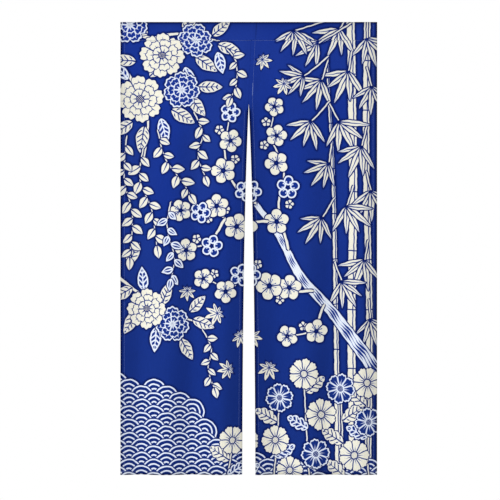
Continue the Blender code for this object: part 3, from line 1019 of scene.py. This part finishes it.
    # Painted shade of the curling edges and doubled hems: a broad darkening over the last centimetres.
    shade = shade * (1.0 - worked("POWER", 0.5, edge / CURL_SHADE_OVER) * CURL_SHADE_DARKER)
    level = tree.nodes.new("ShaderNodeCombineXYZ")
    for socket in level.inputs:
        tree.links.new(shade.socket, socket)
    colour = mixed(tree, 1.0, colour, Wire(tree, level.outputs[0]), "MULTIPLY")
    tree.links.new(colour.socket, shader.inputs["Base Color"])
    rough = COTTON_ROUGHNESS - bare * BARE_SMOOTHER + (yarns - 1.0) * YARNS_ROUGHEN
    tree.links.new(rough.socket, shader.inputs["Roughness"])
    add_bump(tree, shader, yarns, *WEAVE_BUMP)
    for name, value in COTTON_FINISH:
        shader.inputs[name].default_value = value
    return material


cotton = printed_cotton()
# The unwrapped map, in shares of its width: the front, the back, and the rim as a strip
MAP_FRONT, MAP_BACK_FROM, MAP_BACK, MAP_RIM, MAP_MARGIN = 0.655, 0.675, 0.29, (0.982, 0.995), 0.002


def add_cloth(name, front, back, front_places, back_places, wrong_side, from_edge):
    """A closed mesh from two grids of points, with the print on both.

    The places are both grids' places on the print. wrong_side is 1 on each back face that
    shows the wrong side of the cloth, and from_edge is each point's distance from the
    nearest finished edge. The unwrapped map holds the front, the back and the rim side by
    side, and gives the front two thirds of its width.
    """
    rows, columns = front.shape[:2]
    count = rows * columns
    index = np.arange(count).reshape(rows, columns)
    cells = np.stack([index[:-1, :-1], index[1:, :-1], index[1:, 1:], index[:-1, 1:]], axis=2).reshape(-1, 4)
    rim = np.concatenate([index[0, :-1], index[:-1, -1], index[-1, :0:-1], index[:0:-1, 0]])
    after = np.roll(rim, -1)
    band = np.stack([rim, after, after + count, rim + count], axis=1)
    faces = np.concatenate([cells, cells[:, ::-1] + count, band])
    mesh = bpy.data.meshes.new(name)
    mesh.from_pydata(np.concatenate([front.reshape(-1, 3), back.reshape(-1, 3)]).tolist(), [], faces.tolist())
    mesh.shade_smooth()
    flat = np.concatenate([front_places.reshape(-1, 2), back_places.reshape(-1, 2)])
    wrong = np.concatenate([np.zeros(len(cells)), wrong_side.ravel(), np.zeros(len(rim))])
    attributes = print_attributes(flat[faces])
    attributes["wrong_side"] = np.repeat(wrong[:, None], 4, axis=1)
    attributes["from_edge"] = np.tile(from_edge.ravel(), 2)[faces]
    for title, values in attributes.items():
        kind, field = ("FLOAT", "value") if values.ndim == 2 else ("FLOAT_VECTOR", "vector")
        made = mesh.attributes.new(title, kind, "CORNER")
        made.data.foreach_set(field, values.astype(np.float32).ravel())
    long, short = np.meshgrid(np.linspace(0, 1, rows), np.linspace(0, 1, columns), indexing="ij")
    if columns > rows:
        long, short = short, long
    across_map = np.concatenate([short.ravel() * MAP_FRONT, MAP_BACK_FROM + short.ravel() * MAP_BACK])
    unwrapped = np.stack([across_map, np.tile(long.ravel(), 2)], axis=1)[faces]
    rim_share = np.arange(len(rim)) / len(rim)
    rim_after = rim_share + 1.0 / len(rim)
    rim_v = np.stack([rim_share, rim_after, rim_after, rim_share], axis=1)
    rim_u = np.broadcast_to(np.repeat(MAP_RIM, 2), rim_v.shape)
    unwrapped[len(cells) * 2:] = np.stack([rim_u, rim_v], axis=2)
    unwrapped = unwrapped * (1.0 - 2.0 * MAP_MARGIN) + MAP_MARGIN
    layer = mesh.uv_layers.new(name="OFBake")
    layer.data.foreach_set("uv", unwrapped.astype(np.float32).ravel())
    mesh.materials.append(cotton)
    return put_in_scene(name, mesh)


JOINED_EDGE_UNSHADED, JOINED_FADES = 0.040, (0.04, 0.03)
for side, folds, name, node in ((-1, LEFT_FOLDS, "cloth_left", "panel_left"),
                                (1, RIGHT_FOLDS, "cloth_right", "panel_right")):
    flat = cloth_lines(PANEL_WIDTH, SIDE_HEM, SLIT_HEM)
    down = cloth_lines(DROP - POCKET, 0.0, FOOT_HEM) + POCKET
    middle = hung_cloth(side, folds, flat, down)
    from_side, from_slit, from_foot = flat[None, :], (PANEL_WIDTH - flat)[None, :], (DROP - down)[:, None]
    fronts, backs = zip(hem_section(from_side, SIDE_HEM), hem_section(from_slit, SLIT_HEM),
                        hem_section(from_foot, FOOT_HEM))
    front = np.minimum(np.minimum(fronts[0], fronts[1]), fronts[2])
    back = np.minimum(np.minimum(backs[0], backs[1]), backs[2])
    edge_distance = np.minimum(np.minimum(from_side, from_slit), from_foot)
    rolled_back = -HEM_EXTRA / 2 - (CLOTH + HEM_EXTRA) / 2 * rolled_edge(edge_distance)
    back = np.where(edge_distance < HEM_ROLL, rolled_back, back)
    in_side, in_slit, in_foot = [distance < hem + ROUNDING for distance, hem in (
        (from_side, SIDE_HEM), (from_slit, SLIT_HEM), (from_foot, FOOT_HEM))]
    hemmed = in_side | in_slit | in_foot
    # A hem is turned to the back, so its outside shows the print from beyond the edge.
    print_x, print_y = side * (WIDTH / 2 - flat)[None, :], -down[:, None]
    turned_x = np.where(in_slit, -side * from_slit, print_x)
    turned_x = np.where(in_side, side * (WIDTH / 2 + from_side), turned_x)
    turned_y = np.where(in_foot, -DROP - from_foot, print_y)
    places = np.stack(np.broadcast_arrays(print_x, print_y), axis=2)
    turned = np.stack(np.broadcast_arrays(turned_x, turned_y), axis=2)
    # The painted edge shade is held off the joined edge and fades in along the free edge below it.
    free = smooth_step(SEAM_END - JOINED_FADES[0], SEAM_END + JOINED_FADES[1], down)[:, None]
    edge_distance = np.minimum(np.minimum(from_side, from_slit + JOINED_EDGE_UNSHADED * (1.0 - free)), from_foot)
    grids = [middle, front, back, places, turned, hemmed, edge_distance]
    if side > 0:
        # The right cloth is counted from its outer edge, so its columns are turned round.
        grids = [grid[:, ::-1] for grid in grids]
    middle, front, back, places, turned, hemmed, edge_distance = grids
    wrong_side = ~(hemmed[:-1, :-1] & hemmed[1:, 1:] & hemmed[1:, :-1] & hemmed[:-1, 1:])
    piece = add_cloth(name, beside(middle, front), beside(middle, back), places, turned, wrong_side,
                      edge_distance)
    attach(piece, "root")
    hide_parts(node)

# The rod pocket: the same two cloths, turned over to the back at the top edge and sewn
# down, with the empty tunnel left a little open. Its ends are hemmed and the seam of the
# two cloths runs up over it.
FRONT_SWELL, FRONT_EASES, BACK_SWELL, BACK_EASES = 0.0045, 0.30, 0.0165, 0.10
POCKET_BACK_GAP, POCKET_TURNED, POCKET_ALLOWANCE = 0.0013, 0.0030, 0.010
POCKET_ROWS, SWELL_LONG, SWELL_SHORT, POCKET_PUCKERS_WIDER = 22, (0.05, 37.0), (0.03, 91.0), 0.8
SEAM_PROUD, SEAM_WIDE, SEAM_REACH = 0.0009, 0.016, 0.080
SEAM_STEP_FROM, SEAM_STEP_TO, SEAM_FALLS_FROM, SEAM_GROWS = -0.0006, 0.0003, 0.004, 0.010
POCKET_SEAM_CLEAR, FOLD_EDGE_SHADE_EASED = 0.012, 0.0004
# Lines of the mesh beside the seam
SEAM_LINES = (-0.0115, -0.008, -0.004, -0.0008, -0.0002, 0.0003, 0.0012, 0.004, 0.008, 0.0125, 0.0165)

# Columns: place across the curtain, swell there as a share of the depths above
POCKET_SWELLS = (
    (-WIDTH / 2, 1.20),
    (-0.28, 0.90),
    (-0.10, 1.08),
    (0.07, 0.90),
    (0.24, 1.10),
    (0.33, 0.92),
    (WIDTH / 2, 1.18),
)


def pocket_wall(across, turn):
    """The middle of the pocket's cloth: rows follow turn, columns follow the place across.

    turn runs from -pi at the foot of the front over 0 at the top fold to pi at the foot of
    the back. Height follows its cosine and depth its sine, which is held back towards the
    foot. The seam leans, so places near it are shifted across.
    """
    table = np.array(POCKET_SWELLS)
    swell = np.interp(across, table[:, 0], table[:, 1])[None, :]
    uneven = 1.0 + SWELL_LONG[0] * np.sin(across * SWELL_LONG[1])
    uneven = uneven + SWELL_SHORT[0] * np.sin(across * SWELL_SHORT[1] + 1.0)
    swell = swell * uneven[None, :]
    height = ((1.0 + np.cos(turn)) / 2.0)[:, None]
    bulge = np.abs(np.sin(turn))[:, None] * (0.5 + 0.5 * height) * swell
    front = -FRONT_SWELL * bulge * smooth_step(0.0, FRONT_EASES, height)
    back = BACK_SWELL * bulge * smooth_step(0.0, BACK_EASES, height) + POCKET_BACK_GAP * (1.0 - height ** 6)
    y = np.where(turn[:, None] < 0, front, back)
    z = np.broadcast_to(-POCKET + height * (POCKET - CLOTH / 2), y.shape)
    lean = seam_lean(-z) * (1.0 - smooth_step(0.0, SEAM_REACH, np.abs(across)))[None, :]
    y = y + sewn_pucker(across[None, :], (z + POCKET) * POCKET_PUCKERS_WIDER) * (height > 0)
    return np.stack([across[None, :] + lean, y, z], axis=2)


half = cloth_lines(PANEL_WIDTH, SIDE_HEM, SLIT_HEM)
half = half[half < PANEL_WIDTH - POCKET_SEAM_CLEAR]
across = np.concatenate([half - WIDTH / 2, SEAM_LINES, (WIDTH / 2 - half)[::-1][1:]])
turn = np.linspace(np.pi, -np.pi, 2 * POCKET_ROWS + 1)
middle = pocket_wall(across, turn)
tail = middle[:1] + np.array([0.0, 0.0, -1.0]) * np.array([POCKET_TURNED, POCKET_TURNED / 2])[:, None, None]
middle = np.concatenate([tail, middle])
from_end = np.minimum(across + WIDTH / 2, WIDTH / 2 - across)[None, :]
end_front, end_back = hem_section(from_end, SIDE_HEM)
proud = SEAM_PROUD * smooth_step(SEAM_STEP_FROM, SEAM_STEP_TO, across)
proud = proud * (1.0 - smooth_step(SEAM_FALLS_FROM, SEAM_WIDE, across))
proud = proud[None, :] * smooth_step(0.0, SEAM_GROWS, -middle[..., 2])
outer = beside(middle, end_front + proud)
inner = beside(middle, end_back + 0.5 * proud)
on_back = np.concatenate([[1.0, 1.0], turn]) > 0
print_y = np.where(on_back, -middle[:, 0, 2], middle[:, 0, 2])[:, None]
places = np.stack(np.broadcast_arrays(across[None, :], print_y), axis=2)
# The top fold counts as an edge for the painted edge shade, set a fraction of a millimetre in.
from_edge = np.minimum(from_end, np.abs(print_y) + FOLD_EDGE_SHADE_EASED)
wrong_side = np.broadcast_to((from_end > SIDE_HEM)[:, 1:], (len(middle) - 1, len(across) - 1))
pocket = add_cloth("rod_pocket", outer, inner, places, places, wrong_side,
                   np.broadcast_to(from_edge, middle.shape[:2]))
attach(pocket, "root")
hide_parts("heading")

# The sewing thread: pale blue polyester, in rows of lockstitch on both faces of the hems,
# the pocket's foot and the joined edge, with a few stitches back and forth over the place
# where the slit begins.
THREAD_PITCH, THREAD_LENGTH, THREAD_WIDTH, THREAD_PROUD = 0.0030, 0.0026, 0.00058, 0.00018
TACK_PITCH, THREAD_SLANT, THREAD_SUNK, THREAD_SUNK_POCKET = 0.0027, 0.00005, 0.00025, 0.0002
STRAND_SIDES, STRAND_FLATTER, STITCH_LENGTHS_VARY = 6, 0.8, (0.93, 1.05)
# Rings of a strand: place along it, share of its radius, share of its height over the cloth
STRAND_RINGS = ((0.0, 0.35, -1.6), (0.18, 0.85, 0.5), (0.5, 1.0, 1.0), (0.82, 0.85, 0.5), (1.0, 0.35, -1.6))
BACKTACK, FOOT_BACKTACK = (0.202, 0.246), (0.0015, 0.014)
# Rows of each backtack: shift off the row that they go over, seed
BACKTACK_ROWS = ((0.0005, 6), (0.0010, 7), (0.0015, 8), (0.0020, 13))
FOOT_BACKTACK_ROWS = ((-0.0005, 11), (0.0005, 12))
ROW_STEP, FREE_EDGE_FROM, POCKET_ROW = 0.002, 0.292, 0.0011
POCKET_ROW_TOP, POCKET_ROW_POINTS = -0.25, 60
HAIR = 0.0005
THREAD_BLUE, THREAD_SHADES = (0.17, 0.24, 0.56), (0.62, 1.5)
PLIES_SCALE, PLIES_WAVER, PLIES_BUMP, UNEVEN_SCALE = 900.0, 1.5, (0.4, 0.00005), 60.0
THREAD_ROUGHNESS, THREAD_SHEEN, PLIES_PAINTED_SHADE, UNEVEN_SHADE = 0.55, 0.2, 0.25, 0.5


def spun_thread():
    """Twisted thread: slanting stripes of its plies, whose grooves are painted darker as painted shade, and a
    little uneven in colour.
    """
    material, tree, shader = new_material("sewing_thread")
    place = tree.nodes.new("ShaderNodeTexCoord")
    plies = tree.nodes.new("ShaderNodeTexWave")
    plies.bands_direction = "DIAGONAL"
    plies.inputs["Scale"].default_value = PLIES_SCALE
    plies.inputs["Distortion"].default_value = PLIES_WAVER
    uneven = tree.nodes.new("ShaderNodeTexNoise")
    uneven.inputs["Scale"].default_value = UNEVEN_SCALE
    for texture in (plies, uneven):
        tree.links.new(place.outputs["Object"], texture.inputs["Vector"])
    plies, uneven = Wire(tree, plies.outputs["Fac"]), Wire(tree, uneven.outputs["Fac"])
    shades = [tuple(share * value for value in THREAD_BLUE) + (1.0,) for share in THREAD_SHADES]
    # Painted shade: the colour follows the plies' bump, darker in the grooves between them, with uneven
    # colour besides.
    colour = mixed(tree, plies * PLIES_PAINTED_SHADE + uneven * UNEVEN_SHADE, *shades)
    tree.links.new(colour.socket, shader.inputs["Base Color"])
    add_bump(tree, shader, plies, *PLIES_BUMP)
    shader.inputs["Roughness"].default_value = THREAD_ROUGHNESS
    shader.inputs["Sheen Weight"].default_value = THREAD_SHEEN
    return material


thread = spun_thread()


def stitches_along(points, normals, seed, pitch=THREAD_PITCH, length=THREAD_LENGTH):
    """Stitches on a path: one strand every pitch, whose ends dip into the cloth.

    A strand is five rings of points across its length. Their radius and height over the
    cloth are least at both ends, where the thread goes down through the cloth.
    """
    draw = np.random.default_rng(seed)
    along = np.concatenate([[0.0], np.cumsum(np.linalg.norm(np.diff(points, axis=0), axis=1))])
    middles = np.arange(pitch / 2, along[-1], pitch)
    reach = length / 2 * draw.uniform(*STITCH_LENGTHS_VARY, len(middles))

    def at(places, values):
        return np.stack([np.interp(places, along, values[:, axis]) for axis in range(3)], axis=-1)

    start, end = at(middles - reach, points), at(middles + reach, points)
    up = at(middles, normals)
    ahead = end - start
    sideways = np.cross(up, ahead)
    sideways /= np.linalg.norm(sideways, axis=1, keepdims=True)
    slant = sideways * draw.normal(0.0, THREAD_SLANT, (len(middles), 1))
    share, radius, height = np.array(STRAND_RINGS).T
    radius, height = THREAD_WIDTH / 2 * radius, THREAD_PROUD * height
    spin = np.linspace(0.0, 2.0 * np.pi, STRAND_SIDES, endpoint=False)
    centres = (start[:, None] + ahead[:, None] * share[:, None] + up[:, None] * height[:, None]
               + slant[:, None] * (share - 0.5)[:, None])
    ring = STRAND_FLATTER * up[:, None, None] * np.sin(spin)[:, None]
    ring = sideways[:, None, None] * np.cos(spin)[:, None] + ring
    return (centres[:, :, None] + ring * radius[:, None, None]).reshape(-1, 3)


def add_thread(name, rows):
    """One piece of thread from several rows of stitches."""
    vertices = np.concatenate(rows)
    rings, sides = len(STRAND_RINGS), STRAND_SIDES
    ring = np.arange(rings - 1)[:, None] * sides
    here = np.arange(sides)
    after = (here + 1) % sides
    wall = np.stack(np.broadcast_arrays(ring + here, ring + sides + here, ring + sides + after, ring + after),
                    axis=2).reshape(-1, 4)
    caps = np.stack([here, (rings - 1) * sides + here[::-1]])
    starts = np.arange(0, len(vertices), rings * sides)[:, None, None]
    faces = (wall[None] + starts).reshape(-1, 4).tolist() + (caps[None] + starts).reshape(-1, sides).tolist()
    mesh = bpy.data.meshes.new(name)
    mesh.from_pydata(vertices.tolist(), [], faces)
    mesh.shade_smooth()
    mesh.materials.append(thread)
    piece = put_in_scene(name, mesh)
    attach(piece, "root")
    return piece


def facing_front(across, ahead):
    """Unit normals from two directions in a surface, turned to the front (-Y)."""
    normals = np.cross(ahead, across)
    normals /= np.linalg.norm(normals, axis=1, keepdims=True)
    return np.where(normals[:, 1:2] > 0, -normals, normals)


def row_on_cloth(side, folds, flat, down, outward):
    """(points, normals) of a row on a cloth's front (outward 1) or back (-1).

    One of flat and down is an array and the other a number. The cloth is worked out a
    hair to either side of the row, which gives its normals.
    """
    either_side = np.array([-HAIR, 0.0, HAIR])
    if np.ndim(down):
        grid = hung_cloth(side, folds, flat + either_side, down)
        points = grid[:, 1]
        normals = facing_front(grid[:, 2] - grid[:, 0], np.gradient(points, axis=0))
    else:
        grid = hung_cloth(side, folds, flat, down + either_side)
        points = grid[1]
        normals = facing_front(np.gradient(points, axis=0), grid[2] - grid[0])
    if outward > 0:
        return points + normals * (CLOTH / 2 - THREAD_SUNK), normals
    return points - normals * (CLOTH / 2 + HEM_EXTRA - THREAD_SUNK), -normals


def up_the_pocket(across):
    """(points, normals) of a row that goes on from a cloth's hem up the front of the pocket."""
    turn = np.linspace(-np.pi, POCKET_ROW_TOP, POCKET_ROW_POINTS)
    grid = pocket_wall(across + np.array([-HAIR, 0.0, HAIR]), turn)
    points = grid[:, 1]
    normals = facing_front(grid[:, 2] - grid[:, 0], np.gradient(points, axis=0))
    return points + normals * (CLOTH / 2 - THREAD_SUNK_POCKET), normals


side_flat = SIDE_HEM - STITCH_INSIDE_HEM
slit_flat = PANEL_WIDTH - SLIT_HEM + STITCH_INSIDE_HEM
foot_down = DROP - FOOT_HEM + STITCH_INSIDE_HEM
for side, folds, name in ((-1, LEFT_FOLDS, "thread_left"), (1, RIGHT_FOLDS, "thread_right")):
    long = np.arange(POCKET + ROW_STEP, foot_down, ROW_STEP)
    beside_slit = long[long >= FREE_EDGE_FROM] if side < 0 else long
    wide = np.arange(ROW_STEP, PANEL_WIDTH - ROW_STEP, ROW_STEP)
    corner = np.arange(*FOOT_BACKTACK, ROW_STEP / 2)
    rows = []
    for outward in (1, -1):
        for flat, down, seed in ((side_flat, long, 2), (slit_flat, beside_slit, 3), (wide, foot_down, 4)):
            rows.append(stitches_along(*row_on_cloth(side, folds, flat, down, outward), seed))
        for shift, seed in FOOT_BACKTACK_ROWS:
            path = row_on_cloth(side, folds, corner, foot_down + shift, outward)
            rows.append(stitches_along(*path, seed, TACK_PITCH, THREAD_LENGTH))
    rows.append(stitches_along(*up_the_pocket(side * (WIDTH / 2 - side_flat)), 5))
    if side > 0:
        for shift, seed in BACKTACK_ROWS:
            path = row_on_cloth(side, folds, slit_flat + shift, np.arange(*BACKTACK, ROW_STEP), 1)
            rows.append(stitches_along(*path, seed, TACK_PITCH, TACK_PITCH))
    add_thread(name, rows)

rows = []
for side, folds in ((-1, LEFT_FOLDS), (1, RIGHT_FOLDS)):
    wide = np.arange(ROW_STEP / 2, PANEL_WIDTH - ROW_STEP / 2, ROW_STEP)
    points, normals = row_on_cloth(side, folds, wide, POCKET + POCKET_ROW, 1)
    rows.append(stitches_along(points + normals * THREAD_SUNK_POCKET, normals, 9))
    back = points * np.array([1.0, 0.0, 1.0]) + np.array([0.0, POCKET_BACK_GAP + CLOTH / 2, 0.0])
    rows.append(stitches_along(back, -normals, 10))
add_thread("thread_pocket", rows)
